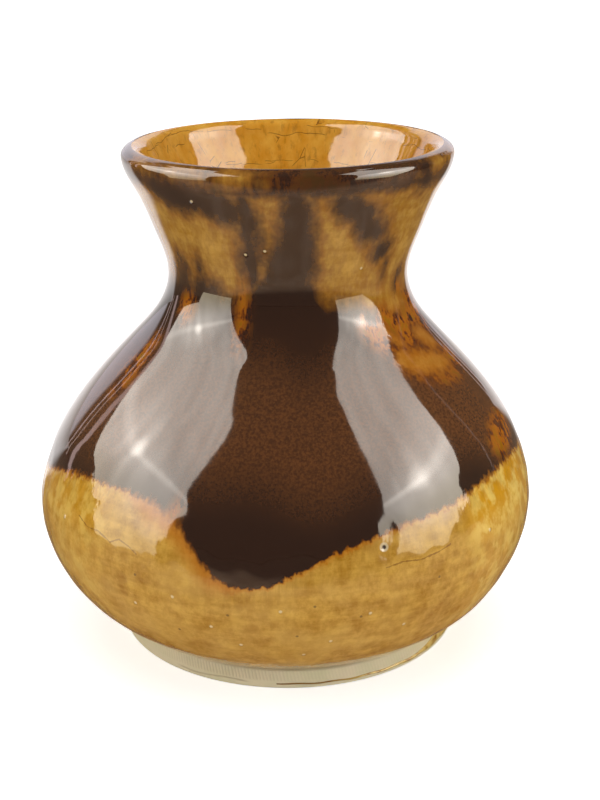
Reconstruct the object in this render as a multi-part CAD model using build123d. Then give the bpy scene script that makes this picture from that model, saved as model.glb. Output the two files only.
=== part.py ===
"""Squat flared pottery bud vase: a thrown clay pot on a luted foot ring, with its coats of glaze.

The pot is a surface of revolution about Z. Its outline runs from the foot seam round a wide low belly,
in to a narrow waist and out again to a flared, round-lipped mouth. Two clay pieces carry six coats of
glaze: a honey base coat outside, a lining inside, and brown coats over the base coat at the lip, down the
neck and over the shoulder, where the brown ran down in lobes. One last run of glaze lies on the foot ring.

Units are millimetres. +Z is up, the origin is the centre of the face that the vase stands on, and -Y is
its front.
"""

from build123d import *
from math import cos, radians, sin
import os

# Driving dimensions
HEIGHT = 110.0
WALL = 4.4  # finished wall at the lip, with its glaze on both faces
BASE_COAT = 0.45  # honey glaze outside
LINING_COAT = 0.45  # honey glaze inside
OVER_COAT = 0.35  # brown glaze on top of the base coat
SEAM_Z = 4.7  # where the pot meets its foot ring
FOOT_RADIUS = 38.5
FOOT_TOP_RADIUS = 38.1
FOOT_INNER_RADIUS = 31.5
FOOT_BEVEL = 0.5
FLOOR_Z = 10.0  # glazed floor inside the pot, at its centre

# Finished outside of the pot as (radius, height): foot seam, belly, waist, flare, lip
OUTSIDE = [
    (38.4, SEAM_Z),
    (45.6, 9.9),
    (52.6, 19.5),
    (55.4, 31.4),
    (52.0, 44.3),
    (42.4, 58.4),
    (33.5, 68.0),
    (27.6, 75.6),
    (25.9, 82.2),
    (28.4, 91.3),
    (32.6, 101.2),
    (35.3, HEIGHT - WALL / 2),
]
UNDERSIDE_SLOPE = 34.0  # degrees above the horizontal where the outline leaves the seam
LIP_SLOPE = 87.0  # degrees above the horizontal where the outline reaches the lip
SECTION_POINTS = 24  # points along each coat's outline, taken from the outside by an offset
INSIDE_FROM = 4  # of those points, the first that the inside follows; below it the floor rounds off
FLOOR_FLAT_RADIUS = 22.0
FLOOR_DISH = 0.6  # how much the floor has risen where its flat middle ends

# Lower edge of the brown shoulder coat as (degrees round from the front towards +X, height)
FLOW_EDGE = [
    (-8, 31.8),
    (3, 35.4),
    (15, 39.9),
    (34, 42.6),
    (58, 45.6),
    (90, 43.0),
    (118, 36.0),
    (143, 41.5),
    (172, 45.0),
    (205, 37.5),
    (236, 43.0),
    (268, 44.5),
    (285, 40.3),
    (308, 45.6),
    (331, 44.9),
    (342, 37.6),
]
FLOW_TOP_Z = 87.0
FLOW_MARGIN = 2.0  # the skin is cut this far below the lowest lobe before its edge is trimmed
CUTTER_RADII = (12.0, 75.0)

# Brown runs down the neck as (degrees round, width in degrees, lowest height); they start under the lip band
NECK_RUN_TOP_Z = 104.6
NECK_RUN_RADIUS = 31.0  # where a run's width in degrees becomes a width across
NECK_RUN_TAPER = 0.78  # width of a run's lower end over the width of its top
NECK_RUN_TOP_MARGIN = 1.0  # a run's outline goes on this far above the skin that it cuts
NECK_RUNS = [
    (-43, 34, 97.5),
    (-18, 12, 92.5),
    (2, 17, FLOW_TOP_Z),
    (33, 22, 93.0),
    (70, 16, FLOW_TOP_Z),
    (112, 26, 95.0),
    (150, 18, FLOW_TOP_Z),
    (196, 30, 96.0),
    (232, 16, FLOW_TOP_Z),
    (272, 24, 94.0),
]
LIP_BAND_END = 50.0  # degrees up the round of the lip from its outer side

# Glaze that ran on to the foot ring
RUN_Z = (0.9, 1.9)
RUN_FROM, RUN_TO = -4.0, 74.0  # degrees round
RUN_PATCH_FROM = 60.0  # from here on it covers the ring's whole height
RUN_PATCH_TOP = SEAM_Z - 0.1
RUN_COAT = 0.25


def heading(degrees_up):
    """A unit direction in the XZ plane, at an angle above the horizontal."""
    return (cos(radians(degrees_up)), sin(radians(degrees_up)))


MASTER = Spline(*OUTSIDE, tangents=[heading(UNDERSIDE_SLOPE), heading(LIP_SLOPE)])
LIP_CENTRE = (OUTSIDE[-1][0] - WALL / 2, OUTSIDE[-1][1])


def inset(depth, first=0):
    """Points of the outside, moved into the wall along its normal; a negative depth stands proud."""
    found = []
    for i in range(first, SECTION_POINTS):
        point = MASTER @ (i / SECTION_POINTS)
        along = MASTER % (i / SECTION_POINTS)
        found.append((point.X - depth * along.Y, point.Y + depth * along.X))
    return found


def lip_point(radius, angle):
    """A point on the round of the lip; 0 degrees is its outer side and 90 the top."""
    across, up = heading(angle)
    return (LIP_CENTRE[0] + radius * across, LIP_CENTRE[1] + radius * up)


def lip_arc(radius, start, end):
    """Part of the round of the lip, between two angles."""
    return ThreePointArc(*[lip_point(radius, angle) for angle in (start, (start + end) / 2, end)])


def turned(*edges):
    """The solid that a closed outline in the XZ plane sweeps round Z."""
    face = Plane.XZ * make_face(edges)
    return revolve(face, Axis.Z)


def outside_curve(depth):
    """The whole outside at a depth, from the foot seam to the lip's outer side."""
    return Spline(*inset(depth), lip_point(WALL / 2 - depth, 0))


def inside_curve(depth_from_inside):
    """The inside of the pot, from the middle of its floor up to the lip's inner side."""
    rise = -depth_from_inside
    points = [
        (0, FLOOR_Z + rise),
        (FLOOR_FLAT_RADIUS, FLOOR_Z + FLOOR_DISH + rise),
        *inset(WALL - depth_from_inside, first=INSIDE_FROM),
        lip_point(WALL / 2 - depth_from_inside, 180),
    ]
    return Spline(*points, tangents=[heading(0), heading(90)])


def clay_pot():
    """The thrown pot without its glaze: one wall from the floor to the lip."""
    outer = outside_curve(BASE_COAT)
    inner = inside_curve(LINING_COAT)
    seam_corner = (outer @ 0).X, SEAM_Z
    return turned(
        Line((0, SEAM_Z), seam_corner),
        Line(seam_corner, outer @ 0),
        outer,
        lip_arc(WALL / 2 - BASE_COAT, 0, 180),
        inner,
        Line(inner @ 0, (0, SEAM_Z)),
    )


def foot_ring():
    """A turned ring of bare clay under the pot, a little wider where it stands."""
    outline = Polyline(
        (FOOT_INNER_RADIUS, SEAM_Z),
        (FOOT_INNER_RADIUS, FOOT_BEVEL),
        (FOOT_INNER_RADIUS + FOOT_BEVEL, 0),
        (FOOT_RADIUS - FOOT_BEVEL, 0),
        (FOOT_RADIUS, FOOT_BEVEL),
        (FOOT_TOP_RADIUS, SEAM_Z),
        close=True,
    )
    return turned(*outline.edges())


def base_coat():
    """Honey glaze over the whole outside, from the foot seam to the top of the lip."""
    outer = outside_curve(0)
    inner = outside_curve(BASE_COAT)
    return turned(
        Line(inner @ 0, outer @ 0),
        outer,
        lip_arc(WALL / 2, 0, 90),
        Line(lip_point(WALL / 2, 90), lip_point(WALL / 2 - BASE_COAT, 90)),
        lip_arc(WALL / 2 - BASE_COAT, 90, 0),
        inner,
    )


def lining_coat():
    """Honey glaze over the whole inside, from the top of the lip to the floor."""
    outer = inside_curve(LINING_COAT)
    inner = inside_curve(0)
    return turned(
        Line(outer @ 0, inner @ 0),
        inner,
        lip_arc(WALL / 2, 180, 90),
        Line(lip_point(WALL / 2, 90), lip_point(WALL / 2 - LINING_COAT, 90)),
        lip_arc(WALL / 2 - LINING_COAT, 90, 180),
        outer,
    )


def over_skin(z_low, z_high):
    """A turned skin of brown glaze on the base coat, between two heights."""
    under = outside_curve(0)
    over = outside_curve(-OVER_COAT)
    proud = WALL / 2 + OVER_COAT
    skin = turned(
        Line(under @ 0, over @ 0),
        over,
        lip_arc(proud, 0, LIP_BAND_END),
        Line(lip_point(proud, LIP_BAND_END), lip_point(WALL / 2, LIP_BAND_END)),
        lip_arc(WALL / 2, LIP_BAND_END, 0),
        under,
    )
    size = 2 * CUTTER_RADII[1]
    return skin & Pos(0, 0, (z_low + z_high) / 2) * Box(size, size, z_high - z_low)


def above_flow_edge():
    """Everything above the lobed lower edge of the shoulder coat, out to beyond the belly."""
    rings = []
    for radius in CUTTER_RADII:
        points = [
            (radius * sin(radians(a)), -radius * cos(radians(a)), z) for a, z in FLOW_EDGE
        ]
        rings.append(Edge.make_spline([Vector(*p) for p in points], periodic=True))
    floor = Face.make_surface_from_curves(*rings)
    return Solid.extrude(floor, Vector(0, 0, HEIGHT))


def shoulder_coat():
    """Brown glaze that covers the waist and shoulder and ends in lobes on the belly."""
    lowest = min(z for _, z in FLOW_EDGE)
    return over_skin(lowest - FLOW_MARGIN, FLOW_TOP_Z) & above_flow_edge()


def neck_run(angle, width, z_low):
    """One tongue of brown glaze down the neck; it has a round end, or runs on into the shoulder coat."""
    half = NECK_RUN_RADIUS * sin(radians(width / 2))
    low_half = half * NECK_RUN_TAPER
    top = NECK_RUN_TOP_Z + NECK_RUN_TOP_MARGIN
    shoulder_z = z_low + half if z_low > FLOW_TOP_Z else z_low
    tongue = Polyline((-low_half, shoulder_z), (-half, top), (half, top), (low_half, shoulder_z)).edges()
    if z_low > FLOW_TOP_Z:
        tongue.append(ThreePointArc((low_half, shoulder_z), (0, z_low), (-low_half, shoulder_z)))
    else:
        tongue.append(Line((low_half, shoulder_z), (-low_half, shoulder_z)))
    cutter = extrude(Plane.XZ * make_face(tongue), amount=CUTTER_RADII[1])
    return over_skin(z_low, NECK_RUN_TOP_Z) & (Rot(0, 0, angle) * cutter)


def neck_runs():
    """All the tongues of brown glaze down the neck, as separate solids in one node."""
    return Compound(children=[neck_run(*run).solid() for run in NECK_RUNS])


def lip_band():
    """Brown glaze round the outer side of the lip, down to where the neck runs start."""
    return over_skin(NECK_RUN_TOP_Z, HEIGHT + WALL)


def foot_side(z):
    """Radius of the foot ring's side at a height."""
    share = (z - FOOT_BEVEL) / (SEAM_Z - FOOT_BEVEL)
    return FOOT_RADIUS + (FOOT_TOP_RADIUS - FOOT_RADIUS) * share


def foot_strip(z_low, z_high, start, end):
    """A thin strip of glaze on the foot ring's side, over part of the way round."""
    outline = Polyline(
        (foot_side(z_low), z_low),
        (foot_side(z_low) + RUN_COAT, z_low + RUN_COAT),
        (foot_side(z_high) + RUN_COAT, z_high - RUN_COAT),
        (foot_side(z_high), z_high),
        close=True,
    )
    face = Plane.XZ * make_face(outline.edges())
    strip = revolve(face, Axis.Z, revolution_arc=end - start)
    return Rot(0, 0, start - 90) * strip


def foot_run():
    """Honey glaze that ran along the foot ring's lower edge and covers it at one side."""
    bead = foot_strip(*RUN_Z, RUN_FROM, RUN_TO)
    patch = foot_strip(RUN_Z[0], RUN_PATCH_TOP, RUN_PATCH_FROM, RUN_TO)
    return bead + patch


NODES = {
    "clay_pot": clay_pot,
    "foot_ring": foot_ring,
    "base_glaze": base_coat,
    "lining_glaze": lining_coat,
    "shoulder_flow_glaze": shoulder_coat,
    "neck_run_glaze": neck_runs,
    "lip_band_glaze": lip_band,
    "foot_run_glaze": foot_run,
}

os.makedirs("parts", exist_ok=True)
for name, make in NODES.items():
    export_step(make(), f"parts/{name}.step")
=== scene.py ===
"""Looks for the squat flared pottery bud vase: clay, turned foot, and the coats of glaze that ran over it.

Every piece is a closed mesh swept round Z from one outline, with the relief of a hand-thrown, hand-dipped
pot. Sizes are in millimetres until a mesh is made, because Blender's own unit is the metre. Angles are in
degrees round from the front (-Y) towards +X, and heights are above the face that the vase stands on.
"""

from math import cos, pi, radians, sin

import bpy
import numpy as np
from mathutils import Euler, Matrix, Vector


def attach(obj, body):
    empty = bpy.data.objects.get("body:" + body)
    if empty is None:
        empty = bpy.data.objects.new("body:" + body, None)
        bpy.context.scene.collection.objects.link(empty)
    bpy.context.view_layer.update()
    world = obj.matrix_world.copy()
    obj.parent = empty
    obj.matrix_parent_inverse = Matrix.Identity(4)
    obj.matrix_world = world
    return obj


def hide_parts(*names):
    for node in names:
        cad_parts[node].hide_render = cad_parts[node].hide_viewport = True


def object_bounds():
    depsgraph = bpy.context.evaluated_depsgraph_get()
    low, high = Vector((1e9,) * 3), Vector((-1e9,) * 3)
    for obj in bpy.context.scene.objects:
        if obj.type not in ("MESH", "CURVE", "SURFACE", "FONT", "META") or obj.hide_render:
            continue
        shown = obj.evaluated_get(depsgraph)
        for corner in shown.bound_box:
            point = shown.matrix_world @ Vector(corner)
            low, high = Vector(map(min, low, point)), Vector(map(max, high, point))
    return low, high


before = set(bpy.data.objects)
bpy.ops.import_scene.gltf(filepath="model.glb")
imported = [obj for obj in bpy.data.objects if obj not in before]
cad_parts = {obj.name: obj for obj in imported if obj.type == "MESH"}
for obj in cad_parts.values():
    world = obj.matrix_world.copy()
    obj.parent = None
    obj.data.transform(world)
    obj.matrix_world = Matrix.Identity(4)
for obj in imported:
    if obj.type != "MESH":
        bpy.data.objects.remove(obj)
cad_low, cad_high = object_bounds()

MM = 0.001

# The pot's sizes, as in the CAD model
HEIGHT = (cad_high.z - cad_low.z) / MM
WALL = 4.4
BASE_COAT = 0.45
LINING_COAT = 0.45
OVER_COAT = 0.35
FILM = 0.03  # the thinnest that the brown coats get between their edges
FEATHER = 0.01  # what is left of a brown coat where it ends
COAT_PAST_EDGE = 1.2  # how far below the brown colour its coat starts
SEAM_Z = 4.7
FLOOR_Z = 10.0
OUTSIDE = [
    (38.4, SEAM_Z),
    (45.6, 9.9),
    (52.6, 19.5),
    (55.4, 31.4),
    (52.0, 44.3),
    (42.4, 58.4),
    (33.5, 68.0),
    (27.6, 75.6),
    (25.9, 82.2),
    (28.4, 91.3),
    (32.6, 101.2),
    (35.3, HEIGHT - WALL / 2),
]
UNDERSIDE_SLOPE = 34  # of the outside where it starts, in degrees
LIP_SLOPE = 87
LIP_RADIUS = WALL / 2
LIP_CENTRE = (OUTSIDE[-1][0] - LIP_RADIUS, OUTSIDE[-1][1])
SHOULDER_TOP_Z = 87.0
NECK_TOP_Z = 104.6
LIP_BAND_END = 50  # degrees up the round of the lip
FOOT_RADIUS = 38.5
FOOT_TOP_RADIUS = 38.1
FOOT_INNER_RADIUS = 31.5
FOOT_TOP_REACH = 35.0  # how far in the foot's top goes, under the pot
RECESS_RADIUS = 31.4  # of the hollow inside the foot
FOOT_SIDE_Z = 0.5  # the foot's side starts here, above its bevel
FOOT_RIBS = 322  # fine turning lines all the way round the foot
RIB_DEPTH = 0.07
BROWN_LIP_Z = 104.2  # the brown of the lip starts here

COLUMNS = 400  # mesh columns round the pot
FOOT_COLUMNS = 1960  # about six to a rib
POLE_RADIUS = 0.3  # of the small flat caps that close a swept mesh at the axis

# Lower edge of the brown glaze as (degrees, height)
FLOW_EDGE = [
    (-88, 39.5), (-76, 41.0), (-66, 43.6), (-59, 45.0), (-49, 46.0), (-38, 46.1),
    (-28, 44.6), (-24, 42.6), (-20, 38.6), (-17, 35.8), (-14, 33.4), (-10, 31.9),
    (-5, 32.3), (0, 34.2), (5, 36.4), (11, 38.8), (18, 40.6), (26, 42.3),
    (36, 43.2), (46, 44.6), (58, 45.8), (72, 45.5), (90, 43.0), (106, 38.0),
    (118, 35.5), (130, 38.0), (150, 43.0), (172, 44.8), (190, 40.0), (205, 36.5),
    (220, 40.0), (245, 43.5), (262, 42.0),
]

# Upper edge of the solid brown on the shoulder; above it the brown is thin and breaks to amber
BREAK_EDGE = [
    (-90, 84), (-72, 83), (-62, 85.5), (-54, 88), (-48, 85), (-41, 88), (-35, 84.5),
    (-28, 83), (-22, 82), (-12, 88), (0, 91), (10, 88), (14, 83), (25, 81),
    (38, 79.5), (46, 78.5), (54, 77), (62, 78), (72, 80), (84, 82), (96, 85),
    (120, 88), (150, 82), (172, 76), (188, 80), (215, 90), (240, 84), (256, 79),
]

# Brown stains on the neck as (degrees, height, half width, half height, tilt), then those round the back
STAINS = [
    (-38, 104.6, 13.0, 4.6, -8),
    (-22, 101.8, 5.4, 4.6, -15),
    (-15, 95.0, 3.0, 12.0, 0),
    (-57, 106.0, 4.0, 1.8, 0),
    (-52, 86.5, 2.2, 3.0, 0),
    (-42, 86.0, 1.6, 4.0, 0),
    (2.5, 105.0, 3.2, 6.0, 0),
    (3.5, 97.0, 4.6, 9.0, 0),
    (2.0, 88.5, 5.4, 8.0, 0),
    (24, 101.4, 6.6, 3.8, -20),
    (32, 97.0, 5.2, 3.2, -40),
    (41, 91.0, 3.0, 3.0, -30),
    (47, 86.5, 1.4, 3.6, 0),
    (60, 82.5, 2.0, 3.4, 0),
    (58, 105.7, 7.0, 1.8, 3),
    (86, 99.0, 4.4, 7.5, 8),
    (112, 103.0, 9.0, 3.6, -5),
    (128, 94.0, 2.6, 8.0, 0),
    (158, 98.0, 5.0, 9.0, -4),
    (196, 103.0, 10.0, 3.4, 4),
    (207, 95.0, 3.6, 7.5, 0),
    (236, 97.0, 5.0, 8.5, 5),
    (268, 101.5, 6.0, 4.4, 0),
    (284, 92.0, 1.8, 6.5, 0),
]

# Amber windows in the brown of the shoulder and the lip, in the same form
WINDOWS = [
    (56, 66.8, 9.0, 2.5, -12),
    (67, 70.0, 4.0, 2.2, -30),
    (47, 72.5, 3.0, 1.2, -50),
    (58, 78.5, 4.0, 2.0, 0),
    (-46, 109.3, 9.0, 0.8, 0),
    (-17, 108.6, 3.0, 0.8, 0),
    (70, 108.4, 8.0, 1.3, 0),
    (136, 61.0, 7.0, 2.0, -8),
    (182, 70.0, 8.0, 2.2, 6),
    (226, 55.0, 4.0, 1.4, 10),
    (130, 108.8, 8.0, 0.9, 0),
    (215, 109.0, 10.0, 0.8, 0),
]

# Where the brown is thin and turns to rust and orange, in the same form
THIN = [
    (-27, 42.0, 1.0, 4.5, -30),
    (-20.5, 79.0, 1.0, 6.5, 0),
    (-63, 65.5, 3.0, 6.0, 0),
    (-52, 78.0, 2.4, 3.0, 0),
    (57, 75.5, 12.0, 7.5, 0),
    (60, 66.5, 11.0, 4.0, -10),
    (70, 50.0, 8.0, 3.4, 5),
    (138, 62.0, 9.0, 5.0, -8),
    (112, 42.0, 6.0, 4.0, 0),
    (182, 71.0, 10.0, 5.0, 6),
    (226, 56.0, 7.0, 4.0, 10),
    (250, 47.0, 8.0, 4.0, 0),
]

# Small blisters in the glaze as (degrees, height), each with a pale painted highlight, and the iron specks
# that show most
BLISTER_AND_GLINT_SPOTS = [
    (-24, 28), (-1, 27), (18, 25), (-10, 17.5), (10, 18.5), (-16, 22), (27, 20), (-34, 24),
    (4, 14.5), (50, 35.5), (-58, 36.0), (33, 88), (-17, 92), (-9, 93), (-34, 103),
]
SPECKS = [
    (-12, 25.5), (6, 28), (2.5, 20.5), (-24, 19.5), (16, 24.5), (-33, 31), (34, 30),
]
PINHOLE = (20.7, 38.8)

# Thin cracks across the amber, each a line of (degrees, height)
CRACKS = [
    [(-52, 38.2), (-48.5, 37.0), (-44.5, 37.2), (-40.5, 36.0), (-38, 37.2), (-35, 36.4), (-33, 35.4)],
    [(21, 34.7), (25, 35.3), (29, 34.9), (33.5, 35.4), (37, 36.2)],
    [(118, 30.5), (122, 29.6), (127, 30.4), (131, 29.2), (134, 29.5)],
]


# ---------------- outline

def hermite(t, span, a, b, slope_a, slope_b):
    """The cubic curve from a to b, where t is the share of the span, with a slope given at each end."""
    return (
        (2 * t**3 - 3 * t**2 + 1) * a
        + (t**3 - 2 * t**2 + t) * span * slope_a
        + (3 * t**2 - 2 * t**3) * b
        + (t**3 - t**2) * span * slope_b
    )


def smooth_curve(points, start_slope, end_slope, step=0.25):
    """Evenly spaced (radius, height) points on the smooth curve through the given ones."""
    p = np.array(points, float)
    spans = np.hypot(*np.diff(p, axis=0).T)
    n = len(p)
    system = np.eye(n)
    right = np.zeros((n, 2))
    right[0] = cos(radians(start_slope)), sin(radians(start_slope))
    right[-1] = cos(radians(end_slope)), sin(radians(end_slope))
    for i in range(1, n - 1):
        before, after = 1 / spans[i - 1], 1 / spans[i]
        system[i, i - 1 : i + 2] = before, 2 * (before + after), after
        right[i] = 3 * ((p[i] - p[i - 1]) * before**2 + (p[i + 1] - p[i]) * after**2)
    slopes = np.linalg.solve(system, right)
    dense = []
    for i, span in enumerate(spans):
        t = np.linspace(0, 1, 60, endpoint=i == n - 2)[:, None]
        dense.append(hermite(t, span, p[i], p[i + 1], slopes[i], slopes[i + 1]))
    return evenly(np.vstack(dense), step)


def evenly(points, step):
    """The same line with its points the same distance apart."""
    run = np.append(0, np.cumsum(np.hypot(*np.diff(points, axis=0).T)))
    wanted = np.linspace(0, run[-1], int(run[-1] / step) + 2)
    return np.stack([np.interp(wanted, run, points[:, k]) for k in (0, 1)], 1)


def lip_arc(radius, start, end, steps=40):
    """Points on the round of the lip; 0 degrees is its outer side and 90 the top."""
    a = np.radians(np.linspace(start, end, steps))
    return np.stack([LIP_CENTRE[0] + radius * np.cos(a), LIP_CENTRE[1] + radius * np.sin(a)], 1)


class Outline:
    """A line in the half plane that is swept round Z, with its length and its normals."""

    def __init__(self, points):
        self.points = evenly(points, 0.2)
        along = np.gradient(self.points, axis=0)
        along /= np.hypot(*along.T)[:, None]
        self.normals = np.stack([along[:, 1], -along[:, 0]], 1)
        self.run = np.append(0, np.cumsum(np.hypot(*np.diff(self.points, axis=0).T)))
        self.length = self.run[-1]

    def at(self, distance):
        """Radius, height and normal at distances along the line."""
        columns = (*self.points.T, *self.normals.T)
        return [np.interp(distance, self.run, c) for c in columns]

    def distance_at_height(self, z):
        """How far along the line a height is first reached; only for a line that climbs."""
        climbing = np.maximum.accumulate(self.points[:, 1]) + self.run * 1e-9
        return np.interp(z, climbing, self.run)


wall = smooth_curve(OUTSIDE, UNDERSIDE_SLOPE, LIP_SLOPE)
outer = Outline(np.vstack([wall, lip_arc(LIP_RADIUS, 0, 90)[1:]]))
wall_line = Outline(wall)
r, z, nr, nz = wall_line.at(np.linspace(0.16, 0.98, 20) * wall_line.length)
inside_points = [(0, FLOOR_Z), (22, FLOOR_Z + 0.6), *zip(r - WALL * nr, z - WALL * nz)]
inside_points.append((LIP_CENTRE[0] - LIP_RADIUS, LIP_CENTRE[1]))
inner = Outline(np.vstack([smooth_curve(inside_points, 0, 90), lip_arc(LIP_RADIUS, 180, 90)[1:]]))


# ---------------- fields over the surface

def smoothstep(low, high, value):
    t = np.clip((value - low) / (high - low), 0, 1)
    return t * t * (3 - 2 * t)


def round_the_pot(points, degrees):
    """A smooth closed curve through (degrees, value) points, read at other angles."""
    angles = np.array([a for a, _ in points], float)
    values = np.array([v for _, v in points], float)
    order = np.argsort(angles)
    angles, values = angles[order], values[order]
    angles = np.concatenate([angles[-2:] - 360, angles, angles[:3] + 360])
    values = np.concatenate([values[-2:], values, values[:3]])
    slopes = np.gradient(values, angles)
    d = (degrees - angles[1]) % 360 + angles[1]
    i = np.clip(np.searchsorted(angles, d) - 1, 0, len(angles) - 2)
    span = angles[i + 1] - angles[i]
    t = (d - angles[i]) / span
    return hermite(t, span, values[i], values[i + 1], slopes[i], slopes[i + 1])


def patch(degrees, z, shape):
    """Roughly how many millimetres inside a leaning oval a point is; negative outside."""
    at, height, half_width, half_height, tilt = shape
    radius = outer.at(outer.distance_at_height(height))[0]
    x = np.radians((degrees - at + 180) % 360 - 180) * radius
    y = z - height
    c, s = cos(radians(tilt)), sin(radians(tilt))
    across, up = x * c + y * s, y * c - x * s
    q = np.hypot(across / half_width, up / half_height).clip(1e-3)
    growth = np.hypot(across / half_width**2, up / half_height**2).clip(1e-6)
    return np.minimum(q * (1 - q) / growth, min(half_width, half_height))


def brown_depth(degrees, z):
    """How many millimetres inside the brown glaze a point is; negative in the amber."""
    shoulder = np.minimum(
        z - round_the_pot(FLOW_EDGE, degrees),
        0.7 * (round_the_pot(BREAK_EDGE, degrees) - z),
    )
    lip = 1.8 * (z - BROWN_LIP_Z)
    brown = np.maximum(shoulder, lip)
    for shape in STAINS:
        brown = np.maximum(brown, patch(degrees, z, shape))
    for shape in WINDOWS:
        brown = np.minimum(brown, -patch(degrees, z, shape) - 0.2)
    return np.clip(brown, -12, 12)


def thin_brown(degrees, z):
    """How thin the brown is, from 0 to 1: rust and orange show through it."""
    left_of_middle = np.exp(-(((degrees + 14) / 16) ** 2))
    share = (0.10 + 0.14 * left_of_middle) * smoothstep(104, 107.5, z)
    for shape in THIN:
        share = np.maximum(share, smoothstep(-2.2, 2.0, patch(degrees, z, shape)))
    return share


def waves(points, wavelength, seed, count=14):
    """A smooth random relief between about -1 and 1, the same on every piece."""
    random = np.random.default_rng(seed)
    directions = random.normal(size=(count, 3))
    directions /= np.linalg.norm(directions, axis=1)[:, None]
    directions *= 2 * pi / wavelength * random.uniform(0.7, 1.3, (count, 1))
    phases = random.uniform(0, 2 * pi, count)
    total = np.zeros(points.shape[:-1])
    for k, phase in zip(directions, phases):
        total += np.sin(points @ k + phase)
    return total / np.sqrt(count)


def outer_relief(points):
    """Height of the glaze's ripples and the throwing lines on the outside."""
    z = points[..., 2]
    lines = np.sin(2 * pi * z / 5.2 + 0.6 * waves(points, 40, 5))
    low_belly = smoothstep(5, 9, z) * (1 - smoothstep(26, 38, z))
    under_the_brown = smoothstep(24, 32, z) * (1 - smoothstep(42, 47, z))
    away_from_seam = smoothstep(SEAM_Z, SEAM_Z + 1.5, z)
    ripples = 0.022 * waves(points, 22, 1) + 0.003 * waves(points, 6.5, 2)
    ripples += 0.045 * under_the_brown * waves(points, 5.5, 8)
    return away_from_seam * (ripples + 0.02 * low_belly * lines)


def inner_relief(points):
    """The same for the inside, where the throwing lines were left alone."""
    lines = np.sin(2 * pi * points[..., 2] / 6.5 + waves(points, 50, 6))
    return 0.05 * waves(points, 16, 3) + 0.02 * waves(points, 7, 4) + 0.05 * lines


def hand_made(points):
    """Moves points by the pot's slow irregularities: a belly that sags to the left, a lip that leans."""
    x, z = points[..., 0], points[..., 2]
    sag = smoothstep(5, 20, z) * (1 - smoothstep(24, 60, z))
    lean = smoothstep(84, 108, z)
    out = points.copy()
    out[..., 0] = x - 0.7 * sag
    out[..., 2] = z + lean * 0.010 * x
    return out


# ---------------- meshes

def ring(columns=COLUMNS):
    """The angle of every mesh column, in degrees from the front."""
    return np.arange(columns) * 360 / columns


def placed(r, z, a):
    """Points at radii, heights and angles in radians."""
    return np.stack([r * np.sin(a), -r * np.cos(a), z + 0 * a], -1)


def swept(line, distances, degrees, lift, relief, inward=False):
    """Points of a surface swept round Z: rows along the outline, columns round it."""
    r, z, nr, nz = line.at(distances)
    a = np.radians(degrees)
    flat = placed(r, z, a)
    raised = lift + relief(flat)
    if inward:
        raised = -raised
    r, z = r + raised * nr, z + raised * nz
    return hand_made(placed(r, z, a))


def closed_mesh(name, front, back, fields=None, capped=False):
    """A closed mesh between two grids of points that have the same columns all the way round.

    The last rows of the grids are joined to each other. So are the first rows, unless they are small rings
    round the axis, which are capped instead. fields are named values on the front grid.
    """
    rows, columns = front.shape[:2]
    back_rows = back.shape[0]
    points = np.concatenate([front.reshape(-1, 3), back.reshape(-1, 3)])
    index = np.arange(rows * columns).reshape(rows, columns)
    back_index = rows * columns + np.arange(back_rows * columns).reshape(back_rows, columns)
    loop = np.concatenate([index, back_index[::-1], index[:1]])
    if capped:
        loop = loop[:-1]
    low, high = loop[:-1], loop[1:]
    faces = np.stack([low, np.roll(low, -1, 1), np.roll(high, -1, 1), high], -1).reshape(-1, 4).tolist()
    if capped:
        faces += [index[0, ::-1].tolist(), back_index[0].tolist()]
    return shown(name, points, faces, fields or {})


def shown(name, points, faces, fields):
    """A piece from points and faces, smooth apart from its sharp borders.

    fields are named values on its first points, and are 0 on the others.
    """
    mesh = bpy.data.meshes.new(name)
    mesh.from_pydata((points * MM).tolist(), [], faces)
    for field, values in fields.items():
        padded = np.zeros(len(points), np.float32)
        padded[: values.size] = values.reshape(-1)
        mesh.attributes.new(field, "FLOAT", "POINT").data.foreach_set("value", padded)
    mesh.shade_smooth()
    mesh.set_sharp_from_angle(angle=radians(50))
    piece = bpy.data.objects.new(mesh.name, mesh)
    bpy.context.scene.collection.objects.link(piece)
    return piece


def glaze_fields(line, distances, degrees):
    """What the glaze material reads at each point, as the names in the material say."""
    _, z, _, _ = line.at(distances)
    z = z + 0 * degrees
    degrees = (degrees + 0 * z + 180) % 360 - 180
    on_neck = smoothstep(72, 84, z)
    off_neck = 1 - on_neck
    to_right = degrees > 0
    left_of_lobe = smoothstep(-40, -30, degrees) * (1 - smoothstep(-18, -8, degrees))
    side = smoothstep(38, 50, np.abs(degrees)) * (1 - smoothstep(75, 110, np.abs(degrees)))
    wandering = z + 1.6 * np.sin(np.radians(degrees) * 5 + 1) + 1.2 * np.sin(np.radians(degrees) * 13)
    middle = smoothstep(43, 57, wandering) * (1 - 0.9 * smoothstep(64, 77, wandering))
    flame = side * smoothstep(56, 60, z) * to_right
    off_middle = smoothstep(14, 26, np.abs(degrees))
    softness = np.maximum(2.4 * on_neck, 0.7 * flame) + (0.3 * off_middle + 0.5 * left_of_lobe) * off_neck
    return {
        "brown": brown_depth(degrees, z),
        "edge_width": 0.32 + softness,
        "halo": 0.7 + 3.2 * left_of_lobe * off_neck + 0.5 * on_neck + 4.0 * flame * off_neck,
        "neck": on_neck,
        "chestnut": np.clip(middle * (0.72 + side * np.where(to_right, 0.6, 0.25)) * off_neck, 0, 1),
        "thin": thin_brown(degrees, z),
        "yellow": side * (1 - smoothstep(50, 56, z)) * np.where(to_right, 1.0, 0.55),
    }


def present(piece, node, material):
    """Puts a piece on the frame: it stands for a CAD node and takes its material."""
    piece.data.materials.append(material)
    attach(piece, "root")
    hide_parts(node)


def rows_between(low, high, count):
    """Distances for a grid's rows, one column or one for each angle."""
    t = np.linspace(0, 1, count)[:, None]
    return low + (high - low) * t


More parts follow.
